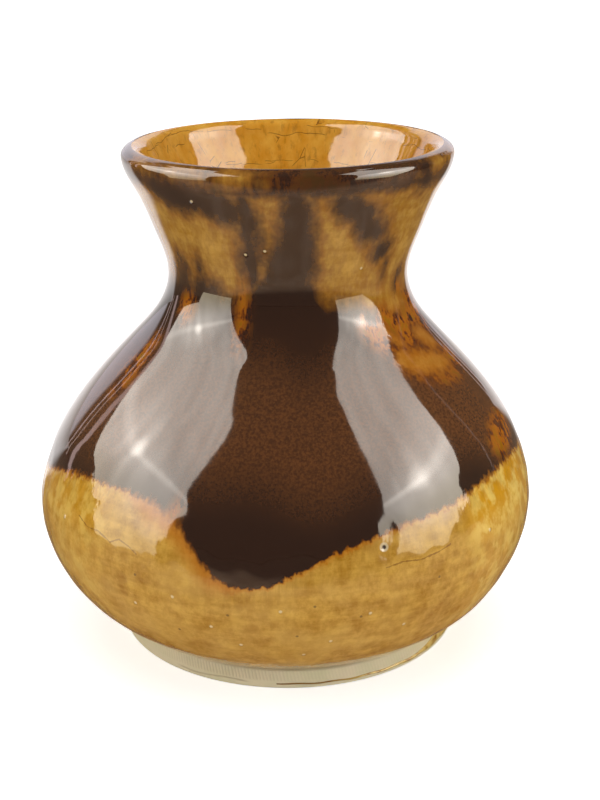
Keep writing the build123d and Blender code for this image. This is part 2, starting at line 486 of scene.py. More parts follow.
def over_coat_thickness(degrees, z):
    """How thick the brown coats lie: a film at their lower edge, full on the shoulder, thinner above."""
    above_edge = smoothstep(-0.5, 6.5, z - round_the_pot(FLOW_EDGE, degrees))
    return FILM + (OVER_COAT - FILM) * above_edge * (1 - 0.6 * smoothstep(72, 92, z))


# ---------------- materials

class Shader:
    """The nodes of a material or the world, and short calls that add to them. Sizes are in millimetres."""

    def __init__(self, name, world=None):
        self.material = world or bpy.data.materials.new(name)
        self.material.use_nodes = True
        self.tree = self.material.node_tree
        self.surface = self.tree.nodes["Background" if world else "Principled BSDF"]
        self.place = self.node("ShaderNodeTexCoord").outputs["Generated" if world else "Object"]

    def node(self, kind, **settings):
        made = self.tree.nodes.new(kind)
        for key, value in settings.items():
            setattr(made, key, value)
        return made

    def put(self, value, socket):
        """Sets a socket to a number or colour, or links another socket to it."""
        if isinstance(value, bpy.types.NodeSocket):
            self.tree.links.new(value, socket)
        elif isinstance(value, tuple) and len(value) == 3 and socket.type == "RGBA":
            socket.default_value = (*value, 1)
        else:
            socket.default_value = value

    def set(self, **values):
        """Sets the surface's own sockets, named with underscores for spaces."""
        for key, value in values.items():
            self.put(value, self.surface.inputs[key.replace("_", " ")])

    def attribute(self, name):
        return self.node("ShaderNodeAttribute", attribute_name=name).outputs["Fac"]

    def scaled(self, stretch):
        """The place on the object, squeezed along each axis."""
        mapping = self.node("ShaderNodeMapping", vector_type="POINT")
        self.put(self.place, mapping.inputs["Vector"])
        mapping.inputs["Scale"].default_value = stretch
        return mapping.outputs["Vector"]

    def noise(self, size, detail=2.0, rough=0.5, stretch=(1, 1, 1), shift=0.0):
        """Smooth noise from 0 to 1 with features about size millimetres across."""
        made = self.node("ShaderNodeTexNoise", noise_dimensions="4D")
        self.put(self.scaled(stretch), made.inputs["Vector"])
        made.inputs["Scale"].default_value = 1 / (size * MM)
        made.inputs["Detail"].default_value = detail
        made.inputs["Roughness"].default_value = rough
        made.inputs["W"].default_value = shift
        return made.outputs["Fac"]

    def cells(self, size, feature="F1", stretch=(1, 1, 1), shift=0.0):
        """Voronoi cells size millimetres apart: the distance in millimetres, and a random colour each."""
        made = self.node("ShaderNodeTexVoronoi", voronoi_dimensions="4D", feature=feature)
        self.put(self.scaled(stretch), made.inputs["Vector"])
        made.inputs["Scale"].default_value = 1 / (size * MM)
        made.inputs["W"].default_value = shift
        distance = self.times(made.outputs["Distance"], size)
        return distance, made.outputs.get("Color")

    def maths(self, operation, a, b=0.0):
        made = self.node("ShaderNodeMath", operation=operation)
        self.put(a, made.inputs[0])
        self.put(b, made.inputs[1])
        return made.outputs[0]

    def times(self, a, b):
        return self.maths("MULTIPLY", a, b)

    def plus(self, a, b):
        return self.maths("ADD", a, b)

    def ramp(self, value, low, high, start=0.0, end=1.0):
        """Turns a value between low and high into one between start and end, smoothly."""
        made = self.node("ShaderNodeMapRange", interpolation_type="SMOOTHSTEP")
        for socket, given in zip(made.inputs, (value, low, high, start, end)):
            self.put(given, socket)
        return made.outputs["Result"]

    def mix(self, factor, a, b):
        made = self.node("ShaderNodeMix", data_type="RGBA")
        self.put(factor, made.inputs[0])
        self.put(a, made.inputs[6])
        self.put(b, made.inputs[7])
        return made.outputs[2]

    def bump(self, height):
        """Sets the surface's normal from a height in millimetres."""
        made = self.node("ShaderNodeBump")
        made.inputs["Distance"].default_value = MM
        self.put(height, made.inputs["Height"])
        self.set(Normal=made.outputs["Normal"])


# Colours, in linear light
HONEY_PALE = (0.71, 0.41, 0.070)
HONEY_MILKY = (0.70, 0.42, 0.090)
HONEY = (0.35, 0.150, 0.003)
HONEY_DEEP = (0.76, 0.36, 0.003)
# Pale colour of the painted ripple highlights at the sides
BUTTER_HIGHLIGHT = (0.92, 0.65, 0.15)
TOAST = (0.24, 0.090, 0.010)
ORANGE = (0.50, 0.150, 0.006)
RUST = (0.13, 0.024, 0.004)
CHESTNUT = (0.165, 0.061, 0.019)
ESPRESSO = (0.034, 0.0155, 0.0095)
LINING = (0.66, 0.285, 0.016)
LINING_PALE = (0.80, 0.43, 0.06)
CRACK = (0.10, 0.030, 0.004)
SPECK = (0.06, 0.03, 0.012)
# Pale painted highlight on the blisters
PAINTED_GLINT = (0.85, 0.70, 0.40)
CREAM = (0.86, 0.78, 0.56)
CREAM_GREEN = (0.76, 0.73, 0.48)
# Used both for real dust specks and for painted shade in the foot's grooves
CREAM_DUST_AND_SHADE = (0.44, 0.36, 0.20)
OLIVE = (0.78, 0.58, 0.17)
POOLED = (0.20, 0.085, 0.02)
CLAY = (0.62, 0.52, 0.38)
CLAY_DARK = (0.42, 0.33, 0.22)

GLAZE_IOR = 1.8
CLAY_IOR = 1.5


def specks(shader, size, radius, share, shift):
    """1 in scattered round specks and 0 between them; share is how many of the cells have one."""
    distance, colour = shader.cells(size, shift=shift)
    split = shader.node("ShaderNodeSeparateColor")
    shader.put(colour, split.inputs[0])
    own_radius = shader.times(split.outputs[0], radius)
    inside = shader.ramp(shader.maths("SUBTRACT", own_radius, distance), -0.05, 0.1)
    chosen = shader.ramp(split.outputs[1], 1 - share, 1 - share + 0.02)
    return shader.times(inside, chosen)


def on_the_outside(degrees, height):
    """The point of the outside face at an angle and a height, in metres."""
    distance = outer.distance_at_height(np.array([[height]]))
    point = swept(outer, distance, np.array([degrees]), 0, outer_relief)
    return tuple(point[0, 0] * MM)


def gap_to(shader, degrees, height):
    """Distance in millimetres from a point of the outside face."""
    gap = shader.node("ShaderNodeVectorMath", operation="DISTANCE")
    shader.put(shader.place, gap.inputs[0])
    gap.inputs[1].default_value = on_the_outside(degrees, height)
    return shader.maths("DIVIDE", gap.outputs["Value"], MM)


def spots(shader, places, radius):
    """1 at the middle of each of some places on the outside face, falling to 0 at a radius."""
    total = 0.0
    for degrees, height in places:
        spot = shader.ramp(gap_to(shader, degrees, height), 0.0, radius, 1.0, 0.0)
        total = shader.plus(total, spot)
    return total


def gap_to_line(shader, start, end):
    """Distance in millimetres from the straight line between two points of the outside face."""
    a, b = Vector(on_the_outside(*start)), Vector(on_the_outside(*end))
    from_start = shader.node("ShaderNodeVectorMath", operation="SUBTRACT")
    shader.put(shader.place, from_start.inputs[0])
    from_start.inputs[1].default_value = a
    along = shader.node("ShaderNodeVectorMath", operation="DOT_PRODUCT")
    shader.put(from_start.outputs["Vector"], along.inputs[0])
    along.inputs[1].default_value = (b - a) / (b - a).length_squared
    share = shader.maths("MINIMUM", shader.maths("MAXIMUM", along.outputs["Value"], 0.0), 1.0)
    nearest = shader.node("ShaderNodeVectorMath", operation="SCALE")
    nearest.inputs[0].default_value = b - a
    shader.put(share, nearest.inputs["Scale"])
    gap = shader.node("ShaderNodeVectorMath", operation="DISTANCE")
    shader.put(from_start.outputs["Vector"], gap.inputs[0])
    shader.put(nearest.outputs["Vector"], gap.inputs[1])
    return shader.maths("DIVIDE", gap.outputs["Value"], MM)


def cracks(shader, lines, half_width):
    """1 on thin ragged cracks along some lines on the outside face."""
    nearest = 100.0
    for places in lines:
        for start, end in zip(places, places[1:]):
            nearest = shader.maths("MINIMUM", nearest, gap_to_line(shader, start, end))
    ragged = shader.ramp(shader.noise(1.1, 3.0, 0.6, shift=21.0), 0.3, 0.7, -half_width, half_width)
    return shader.ramp(shader.plus(nearest, ragged), half_width, 2 * half_width, 1.0, 0.0)


def amber_colour(s, neck, depth):
    """Honey glaze: mottled, faintly banded, yellower at the sides near the brown, browner up the neck,
    with pale ripples at the sides that are painted highlight.
    """
    near_brown = s.ramp(depth, -8.0, -0.5)
    below_brown = s.ramp(depth, -17.0, -3.0)
    mottle = s.ramp(s.noise(3.0, 6.0, 0.72, stretch=(1, 1, 0.8)), 0.35, 0.65)
    milky = s.ramp(s.noise(14.0, 3.0, 0.5, shift=12.0), 0.42, 0.68, 0.0, 0.6)
    bands = s.ramp(s.noise(1.8, 3.0, 0.6, stretch=(0.15, 0.15, 1), shift=4.0), 0.35, 0.65)
    streaks = s.ramp(s.noise(1.3, 4.0, 0.7, stretch=(1, 1, 0.10), shift=9.0), 0.36, 0.66)
    pale = s.plus(s.times(mottle, 0.65), s.times(bands, 0.35))
    amber = s.mix(s.times(pale, s.ramp(neck, 0.0, 1.0, 1.0, 0.7)), HONEY, HONEY_PALE)
    amber = s.mix(s.times(milky, s.ramp(neck, 0.0, 1.0, 1.0, 0.4)), amber, HONEY_MILKY)

    side = s.attribute("yellow")
    amber = s.mix(s.times(s.times(below_brown, side), 0.85), amber, HONEY_DEEP)
    # Painted highlight: pale ripples at the sides stand in for the glaze's swirl highlights
    ripples = s.ramp(s.noise(3.4, 3.0, 0.6, stretch=(1, 1, 0.8), shift=15.0), 0.42, 0.62, 0.0, 0.95)
    ripples = s.times(ripples, s.ramp(depth, -20.0, -6.0))
    amber = s.mix(s.times(ripples, side), amber, BUTTER_HIGHLIGHT)

    low_streaks = s.times(near_brown, s.ramp(streaks, 0.0, 1.0, 0.05, 0.32))
    neck_streaks = s.times(neck, s.ramp(streaks, 0.0, 1.0, 0.05, 0.36))
    return s.mix(s.maths("MAXIMUM", low_streaks, neck_streaks), amber, TOAST)


def brown_colour(s):
    """Brown glaze: nearly black where thick, speckled chestnut on the shoulder, rust where thin."""
    grain = s.ramp(s.noise(0.6, 3.0, 0.75), 0.38, 0.62, 0.35, 1.1)
    dark = s.mix(s.times(s.attribute("chestnut"), grain), ESPRESSO, CHESTNUT)
    streaks = s.noise(1.5, 4.0, 0.72, stretch=(1, 1, 0.16), shift=2.0)
    clouds = s.noise(3.2, 3.0, 0.65, stretch=(1, 1, 0.7), shift=5.0)
    both = s.plus(streaks, clouds)
    showing = s.times(s.attribute("thin"), s.ramp(both, 0.76, 1.02))
    rust = s.mix(s.ramp(both, 0.88, 1.06), RUST, ORANGE)
    rust = s.mix(s.ramp(both, 1.02, 1.20), rust, HONEY)
    return s.mix(showing, dark, rust)


def outside_glaze():
    """Amber glaze that turns through orange and rust to brown, by how deep a point is in the brown."""
    s = Shader("outside_glaze")
    brown, width = s.attribute("brown"), s.attribute("edge_width")
    halo, neck = s.attribute("halo"), s.attribute("neck")

    ragged = s.ramp(s.noise(0.9, 3.0, 0.55), 0.3, 0.7, -0.3, 0.3)
    drips = s.ramp(s.noise(1.5, 2.0, 0.5, stretch=(1, 1, 0.6)), 0.3, 0.7, -0.42, 0.42)
    clouds = s.ramp(s.noise(4.5, 3.0, 0.55, stretch=(1, 1, 0.3)), 0.3, 0.7, -0.7, 1.5)
    depth = s.plus(s.plus(brown, ragged), drips)
    depth = s.plus(depth, s.times(clouds, neck))

    amber = amber_colour(s, neck, depth)
    to_orange = s.ramp(s.maths("DIVIDE", depth, halo), -1.7, -0.1)
    amber = s.mix(s.times(to_orange, s.ramp(neck, 0.0, 1.0, 0.7, 0.3)), amber, ORANGE)
    to_rust = s.ramp(s.maths("DIVIDE", depth, width), -1.5, 0.6)
    amber = s.mix(s.times(to_rust, s.ramp(neck, 0.0, 1.0, 0.7, 0.3)), amber, RUST)
    edge = s.ramp(s.maths("DIVIDE", depth, width), -0.9, 1.2)
    colour = s.mix(edge, amber, brown_colour(s))

    iron = s.maths("MAXIMUM", specks(s, 4.5, 0.5, 0.3, 3.0), s.ramp(spots(s, SPECKS, 0.55), 0.2, 0.7))
    colour = s.mix(s.times(iron, 0.65), colour, SPECK)
    colour = s.mix(s.times(cracks(s, CRACKS, 0.1), 0.55), colour, RUST)
    # Painted highlight: pale colour at the middle of each blister; the same spots also raise small bumps
    blister_bump_and_glint = spots(s, BLISTER_AND_GLINT_SPOTS, 0.8)
    colour = s.mix(s.ramp(blister_bump_and_glint, 0.45, 0.8, 0.0, 0.8), colour, PAINTED_GLINT)
    from_pinhole = gap_to(s, *PINHOLE)
    colour = s.mix(s.ramp(from_pinhole, 0.7, 1.1, 0.6, 0.0), colour, CREAM)
    colour = s.mix(s.ramp(from_pinhole, 0.3, 0.55, 1.0, 0.0), colour, ESPRESSO)
    s.set(Base_Color=colour, IOR=GLAZE_IOR)
    s.set(Roughness=s.ramp(s.noise(9.0, 2.0), 0.3, 0.7, 0.035, 0.07))

    pits = s.times(specks(s, 8.0, 0.5, 0.35, 7.0), -0.14)
    peel = s.times(s.ramp(depth, -3.0, 1.0, 0.06, 0.008), s.ramp(neck, 0.0, 1.0, 1.0, 0.25))
    peel = s.times(peel, s.ramp(s.attribute("yellow"), 0.0, 1.0, 1.0, 2.2))
    peel = s.times(s.noise(2.8, 2.0, 0.45), peel)
    hole = s.ramp(from_pinhole, 0.2, 0.9, -0.3, 0.0)
    lumps = s.plus(s.times(blister_bump_and_glint, 0.22), hole)
    relief = s.plus(s.plus(pits, peel), lumps)
    s.bump(relief)
    return s.material


def cracks_along(s, spacing, mask_size, share, shift):
    """Long thin level cracks that wander, broken off where a slow noise says so."""
    wander = s.times(s.noise(9.0, 3.0, 0.5, stretch=(1, 1, 0.6), shift=shift), 5.0)
    split = s.node("ShaderNodeSeparateXYZ")
    s.put(s.place, split.inputs[0])
    height = s.maths("DIVIDE", split.outputs["Z"], MM)
    level = s.maths("PINGPONG", s.plus(height, wander), spacing)
    line = s.ramp(level, 0.03, 0.10, 1.0, 0.0)
    mask = s.noise(mask_size, 1.0, 0.5, stretch=(1, 1, 2.0), shift=shift + 1)
    kept = s.ramp(mask, 1 - share, 1.03 - share)
    return s.times(line, kept)


def lining_glaze():
    """Orange-honey glaze with thin crazing cracks, most of them level."""
    s = Shader("lining_glaze")
    mottle = s.noise(4.0, 4.0, 0.6, stretch=(1, 1, 0.5))
    streaks = s.noise(1.2, 4.0, 0.65, stretch=(1, 1, 0.15))
    colour = s.mix(s.ramp(mottle, 0.3, 0.7), LINING, LINING_PALE)
    colour = s.mix(s.ramp(streaks, 0.5, 0.72, 0.0, 0.5), colour, TOAST)
    level = s.maths("MAXIMUM", cracks_along(s, 2.6, 7.0, 0.52, 1.0), cracks_along(s, 3.7, 5.0, 0.5, 6.0))
    net, _ = s.cells(5.5, "DISTANCE_TO_EDGE", stretch=(1, 1, 0.5))
    upright = s.times(s.ramp(net, 0.02, 0.08, 1.0, 0.0), s.ramp(s.noise(5.0, 1.0), 0.60, 0.63))
    colour = s.mix(s.times(s.maths("MAXIMUM", level, upright), 0.7), colour, CRACK)
    s.set(Base_Color=colour, IOR=GLAZE_IOR)
    s.set(Roughness=s.ramp(mottle, 0.3, 0.7, 0.04, 0.08))
    pits = specks(s, 7.0, 0.6, 0.35, 2.0)
    s.bump(s.maths("SUBTRACT", s.times(s.noise(2.4), 0.02), s.times(pits, 0.15)))
    return s.material


def foot_clay():
    """Smooth pale clay that was turned and then fired bare, with a little glaze bloom, dust specks, and
    painted shade in its grooves and under the seam.
    """
    s = Shader("foot_clay")
    bloom = s.noise(6.0, 4.0, 0.6)
    colour = s.mix(s.ramp(bloom, 0.3, 0.7), CREAM, CREAM_GREEN)
    # Painted shade: darker in the rib troughs, along the side crack and in the undercut below the seam
    colour = s.mix(s.attribute("groove_shade"), colour, CREAM_DUST_AND_SHADE)
    dust = specks(s, 3.0, 0.25, 0.3, 1.0)
    colour = s.mix(s.times(dust, 0.6), colour, CREAM_DUST_AND_SHADE)
    s.set(Base_Color=colour, IOR=CLAY_IOR)
    s.set(Roughness=s.ramp(bloom, 0.3, 0.7, 0.35, 0.55))
    s.bump(s.times(s.noise(0.6, 4.0, 0.7), 0.03))
    return s.material


def bare_clay():
    """Fired clay under the pot: matte, gritty and marked by the turning tool."""
    s = Shader("bare_clay")
    grit = s.noise(0.8, 5.0, 0.7)
    colour = s.mix(s.ramp(s.noise(12.0, 3.0), 0.3, 0.7), CLAY, CREAM)
    colour = s.mix(s.ramp(grit, 0.5, 0.75, 0.0, 0.6), colour, CLAY_DARK)
    s.set(Base_Color=colour, IOR=CLAY_IOR)
    s.set(Roughness=s.ramp(grit, 0.3, 0.7, 0.7, 0.9))
    s.bump(s.times(grit, 0.08))
    return s.material


def olive_glaze():
    """Thin yellow glaze that ran on to the foot, browner where it pooled."""
    s = Shader("olive_glaze")
    pool = s.noise(1.5, 3.0, 0.6)
    colour = s.mix(s.ramp(pool, 0.45, 0.7), OLIVE, HONEY)
    colour = s.mix(s.attribute("pool"), colour, POOLED)
    s.set(Base_Color=colour, IOR=GLAZE_IOR)
    s.set(Roughness=s.ramp(pool, 0.3, 0.7, 0.05, 0.12))
    s.bump(s.times(s.noise(0.8), 0.02))
    return s.material


# ---------------- pieces

def make_clay_wall():
    """The thrown pot: outer face, floor and inner face under the glaze, and a turned underside."""
    degrees = ring(240)
    outside = swept(outer, rows_between(0, outer.length, 90), degrees, -BASE_COAT, outer_relief)
    rows = rows_between(POLE_RADIUS, inner.length, 90)
    inside = swept(inner, rows, degrees, -LINING_COAT, inner_relief, True)
    base_r = np.linspace(POLE_RADIUS, outer.points[0, 0] - 0.4, 70)[:, None]
    turning = 0.10 * np.sin(base_r * 2 * pi / 1.7) + 0.05 * np.sin(base_r * 2 * pi / 5.3)
    dome = 0.9 * (1 - (base_r / (RECESS_RADIUS - 0.4)) ** 2).clip(0, 1)
    centre_mark = 0.5 * np.exp(-((base_r / 2.2) ** 2))
    off_rim = smoothstep(RECESS_RADIUS, RECESS_RADIUS - 1, base_r)
    base_z = SEAM_Z + (dome + turning * off_rim + centre_mark)
    base_z = np.where(base_r > RECESS_RADIUS, SEAM_Z, base_z)
    under = placed(base_r, base_z, np.radians(degrees))
    return closed_mesh("clay_wall", np.concatenate([hand_made(under), outside]), inside, capped=True)


def foot_wobble(angle):
    """How far the hand-turned foot's side is out of round."""
    return 0.12 * np.sin(2 * angle + 1) + 0.06 * np.sin(5 * angle)


def foot_side(z):
    """Radius of the foot's side at a height."""
    return FOOT_RADIUS + (FOOT_TOP_RADIUS - FOOT_RADIUS) * (z - FOOT_SIDE_Z) / (SEAM_Z - FOOT_SIDE_Z)


def make_foot():
    """The turned foot ring, with the fine ribs that a chattering tool leaves round its side."""
    degrees = ring(FOOT_COLUMNS)
    a = np.radians(degrees)
    side_z = np.append(np.linspace(FOOT_SIDE_Z, SEAM_Z, 22), SEAM_Z)
    side_r = foot_side(side_z)
    side_r[-1] = FOOT_TOP_REACH
    bevel = np.array([[37.2, 0.0], [37.8, 0.04], [38.2, 0.18]])
    bottom = np.array([[FOOT_INNER_RADIUS, 1.5], [31.55, 0.5], [31.8, 0.1], [32.4, 0.0], [34.6, 0.02]])
    profile = np.vstack([bottom, bevel, np.stack([side_r, side_z], 1)])
    r, z = profile[:, :1] + 0 * a, profile[:, 1:] + 0 * a
    on_side = (z > 0.4) & (r > 37)
    band = smoothstep(1.7, 2.2, z) * (1 - smoothstep(3.9, 4.4, z))
    facing = (degrees + 180) % 360 - 180
    cut = 0.2 + 0.8 * np.exp(-(((facing + 22) / 20) ** 2)) + 0.4 * np.exp(-(((facing - 160) / 40) ** 2))
    slant = 0.9 * (z - 3)
    ribs = np.cos(a * FOOT_RIBS + slant * 2.2)
    r = r + on_side * band * cut * RIB_DEPTH * ribs
    undercut = smoothstep(4.1, 4.6, z) * on_side * 0.25
    r = r - undercut
    r = r + on_side * foot_wobble(a)
    crack_z = 1.25 + 0.25 * np.sin(a * 14)
    crack_part = smoothstep(-40, -36, facing) * (1 - smoothstep(-16, -12, facing))
    crack = np.exp(-(((z - crack_z) / 0.16) ** 2)) * crack_part
    r = r - on_side * crack * 0.15
    hidden_r = np.array([[FOOT_INNER_RADIUS], [33.0]])
    back = placed(hidden_r, SEAM_Z + 0 * hidden_r, a)
    # Painted shade for the foot's material: darker in the rib troughs, along the crack and in the undercut
    # below the seam
    groove_shade = on_side * (band * cut * (0.22 - 0.22 * ribs) + crack * 0.9)
    groove_shade = np.clip(groove_shade + smoothstep(4.0, 4.6, z) * on_side * 0.7, 0, 1)
    return closed_mesh("foot_turned", placed(r, z, a), back, {"groove_shade": groove_shade})


def make_honey_coat():
    """Honey glaze over the whole outside, from the foot to the top of the lip."""
    degrees = ring()
    distances = rows_between(0, outer.length, 170)
    front = swept(outer, distances, degrees, 0, outer_relief)
    back = swept(outer, rows_between(0, outer.length, 64), degrees, -BASE_COAT, outer_relief)
    return closed_mesh("honey_coat", front, back, glaze_fields(outer, distances, degrees))


def make_over_coat(name, low, high, count, taper_low=0, taper_high=0):
    """A coat of brown glaze between two distances along the outside, feathered over its tapers."""
    degrees = ring()
    distances = rows_between(low, high, count) + 0 * degrees
    _, z, _, _ = outer.at(distances)
    lift = over_coat_thickness(degrees + 0 * z, z)
    t = np.linspace(0, 1, count)[:, None]
    if taper_low:
        lift = lift * smoothstep(0, taper_low, t * (high - low))
    if taper_high:
        lift = lift * smoothstep(0, taper_high, (1 - t) * (high - low))
    lift = np.maximum(lift, FEATHER)
    front = swept(outer, distances, degrees, lift, outer_relief)
    back_distances = rows_between(low, high, max(count // 3, 8)) + 0 * degrees
    back = swept(outer, back_distances, degrees, 0, outer_relief)
    return closed_mesh(name, front, back, glaze_fields(outer, distances, degrees))


def make_lining():
    """Honey-orange glaze over the inside, from the top of the lip to the middle of the floor."""
    degrees = ring()
    front = swept(inner, rows_between(POLE_RADIUS, inner.length, 150), degrees, 0, inner_relief, True)
    rows = rows_between(POLE_RADIUS, inner.length, 70)
    back = swept(inner, rows, degrees, -LINING_COAT, inner_relief, True)
    return closed_mesh("lining_coat", back, front, capped=True)


def make_foot_run():
    """The bead of glaze along the foot's lower edge, which spreads in a tongue at its right end."""
    degrees = np.linspace(-4, 76, 320)
    share = np.linspace(0, 1, 17)[:, None]
    tip = np.sqrt(np.clip(1 - ((degrees - 64) / 12).clip(0, 1) ** 2, 0, 1))
    start = np.sqrt(smoothstep(-4, 2, degrees))
    spread = smoothstep(46, 62, degrees)
    middle = 1.35 + 0.9 * spread + 0.08 * np.sin(np.radians(degrees) * 31)
    half = (0.14 + 0.22 * smoothstep(10, 50, degrees) + 0.75 * spread) * tip.clip(0.02)
    z = middle - half + 2 * half * share
    a = np.radians(degrees)
    side = foot_side(z) + foot_wobble(a)
    lump = np.sqrt(np.clip(1 - (2 * share - 1) ** 2, 0, 1)) * start * tip * (0.28 + 0.12 * spread)
    front, back = placed(side + lump, z, a), placed(side - 0.1, z, a)
    pool = (1 - smoothstep(8, 30, degrees)) * 0.85 + 0 * z
    return open_strip("foot_glaze_run", front, back, {"pool": np.tile(pool.reshape(-1), 2)})


def open_strip(name, front, back, fields):
    """A closed mesh between two equal grids that don't go all the way round."""
    rows, columns = front.shape[:2]
    points = np.concatenate([front.reshape(-1, 3), back.reshape(-1, 3)])
    index = np.arange(rows * columns).reshape(rows, columns)
    under = index + rows * columns
    over, below = (
        np.stack([g[:-1, :-1], g[:-1, 1:], g[1:, 1:], g[1:, :-1]], -1).reshape(-1, 4)
        for g in (index, under)
    )
    rim = np.concatenate([index[0, :-1], index[:-1, -1], index[-1, :0:-1], index[:0:-1, 0]])
    after = np.roll(rim, -1)
    walls = np.stack([after, rim, rim + rows * columns, after + rows * columns], -1)
    return shown(name, points, np.concatenate([over, below[:, ::-1], walls]).tolist(), fields)


glaze = outside_glaze()
edge_distance = outer.distance_at_height(round_the_pot(FLOW_EDGE, ring()) - COAT_PAST_EDGE)
shoulder_top = outer.distance_at_height(SHOULDER_TOP_Z)
neck_top = outer.distance_at_height(NECK_TOP_Z)
band_top = outer.length - LIP_RADIUS * radians(90 - LIP_BAND_END)

present(make_clay_wall(), "clay_pot", bare_clay())
present(make_foot(), "foot_ring", foot_clay())
present(make_honey_coat(), "base_glaze", glaze)
present(make_lining(), "lining_glaze", lining_glaze())
shoulder = make_over_coat("shoulder_coat", edge_distance, shoulder_top, 110, taper_low=2.0)
present(shoulder, "shoulder_flow_glaze", glaze)
neck = make_over_coat("neck_coat", shoulder_top, neck_top, 60)
present(neck, "neck_run_glaze", glaze)
lip = make_over_coat("lip_coat", neck_top, band_top, 36, taper_high=1.2)
present(lip, "lip_band_glaze", glaze)
present(make_foot_run(), "foot_run_glaze", olive_glaze())


# ---------------- floor, light and camera

def make_plane(name, corners, material, only_mirrored=True):
    """A flat surface of the stage, with any number of corners, mostly there only for the glaze to mirror.
    """
    mesh = bpy.data.meshes.new(name)
    mesh.from_pydata(corners, [], [range(len(corners))])
    mesh.materials.append(material)
    plane = bpy.data.objects.new(name, mesh)
    for rays in ("camera", "diffuse", "shadow", "transmission"):
        setattr(plane, "visible_" + rays, not only_mirrored)
    bpy.context.scene.collection.objects.link(plane)


def floor_corners(half_width, front_y, back_y, z=0.0):
    x = half_width
    return [(-x, front_y, z), (x, front_y, z), (x, back_y, z), (-x, back_y, z)]


def turned_to_wall(s):
    """X, Y and Z of a place or direction, turned so that +Y points at the bright wall's middle."""
    turned = s.node("ShaderNodeMapping", vector_type="POINT")
    s.put(s.place, turned.inputs["Vector"])
    turned.inputs["Rotation"].default_value = (0, 0, radians(WALL_TURN))
    split = s.node("ShaderNodeSeparateXYZ")
    s.put(turned.outputs["Vector"], split.inputs[0])
    return split.outputs


def floor_paper():
    """Pale paper; the glaze mirrors it warm and uneven, and bright where it runs back to the wall."""
    s = Shader("floor_paper")
    rays = s.node("ShaderNodeLightPath").outputs
    x, y, _ = turned_to_wall(s)
    inside = s.maths("SUBTRACT", s.times(y, WALL_WIDTH + 0.2), s.maths("ABSOLUTE", x))
    behind = s.ramp(inside, -0.02, 0.03)
    patchy = s.mix(s.ramp(s.noise(22.0, 2.0), 0.35, 0.65), PAPER_DIM, PAPER_WARM)
    patchy = s.mix(s.ramp(y, PAPER_FRONT, PAPER_FRONT + PAPER_FADE), ROOM_FRONT, patchy)
    mirrored = s.mix(s.ramp(y, -0.05, 0.02), patchy, PAPER_BESIDE)
    mirrored = s.mix(behind, mirrored, PAPER_BEHIND)
    s.set(Base_Color=s.mix(rays["Is Glossy Ray"], PAPER, mirrored), Roughness=0.9)
    far = s.node("ShaderNodeVectorMath", operation="LENGTH")
    s.put(s.place, far.inputs[0])
    brightness = s.ramp(far.outputs["Value"], 0.2, 0.8, 0.6, 1.0)
    to_camera = s.times(rays["Is Camera Ray"], brightness)
    to_glaze = s.times(rays["Is Glossy Ray"], s.times(behind, 0.6))
    s.set(Emission_Color=(1, 1, 1), Emission_Strength=s.plus(to_camera, to_glaze))
    return s.material


def glowing(name, colour):
    """A surface that glows evenly."""
    s = Shader(name)
    s.set(Base_Color=(0, 0, 0), Emission_Color=colour, Emission_Strength=1.0)
    return s.material


def glowing_cloth(name, x, strength, creases):
    """Lit cloth: warmer towards the floor, with soft folds, and bright creases.

    Each crease is (y, z, half length along Y, half height, strength).
    """
    s = Shader(name)
    split = s.node("ShaderNodeSeparateXYZ")
    s.put(s.place, split.inputs[0])
    folds = s.ramp(s.noise(70.0, 2.0, 0.5, stretch=(1, 1, 0.3)), 0.35, 0.65, 0.9, 1.1)
    glow = s.times(folds, strength)
    for y, z, half_y, half_z, boost in creases:
        near = s.node("ShaderNodeMapping", vector_type="TEXTURE")
        s.put(s.place, near.inputs["Vector"])
        near.inputs["Location"].default_value = (x, y, z)
        near.inputs["Scale"].default_value = (1, half_y, half_z)
        far = s.node("ShaderNodeVectorMath", operation="LENGTH")
        s.put(near.outputs["Vector"], far.inputs[0])
        glow = s.plus(glow, s.ramp(far.outputs["Value"], 0.0, 1.0, boost, 0.0))
    colour = s.mix(s.ramp(split.outputs["Z"], 0.0, 0.22), CLOTH_LOW, CLOTH)
    s.set(Base_Color=(0, 0, 0), Emission_Color=colour, Emission_Strength=glow)
    return s.material


def make_side_panel(name, x, outline, strength, creases):
    """A tall lit cloth beside the vase, seen only in its glaze; outline is (y, z) points."""
    corners = [(x, y, z) for y, z in outline]
    make_plane(name, corners, glowing_cloth(name, x, strength, creases))


def make_post(name, azimuth, width, colour):
    """A narrow upright strip far off in the room, there only to be reflected near the vase's sides."""
    corners = []
    for turn, z in ((-width / 2, 0), (width / 2, 0), (width / 2, POST_HEIGHT), (-width / 2, POST_HEIGHT)):
        a = radians(azimuth + turn)
        corners.append((POST_DISTANCE * sin(a), -POST_DISTANCE * cos(a), z))
    make_plane(name, corners, glowing(name, colour))


def make_light(name, size, location, target, brightness, colour):
    """A soft rectangular light that lights surfaces but isn't seen, either directly or in the glaze."""
    data = bpy.data.lights.new(name, "AREA")
    data.shape = "RECTANGLE"
    data.size, data.size_y = size
    data.energy = brightness * size[0] * size[1] * pi
    data.color = colour
    light = bpy.data.objects.new(name, data)
    light.location = location
    light.rotation_euler = (Vector(target) - Vector(location)).to_track_quat("-Z", "Y").to_euler()
    light.visible_camera = False
    light.visible_glossy = False
    bpy.context.scene.collection.objects.link(light)


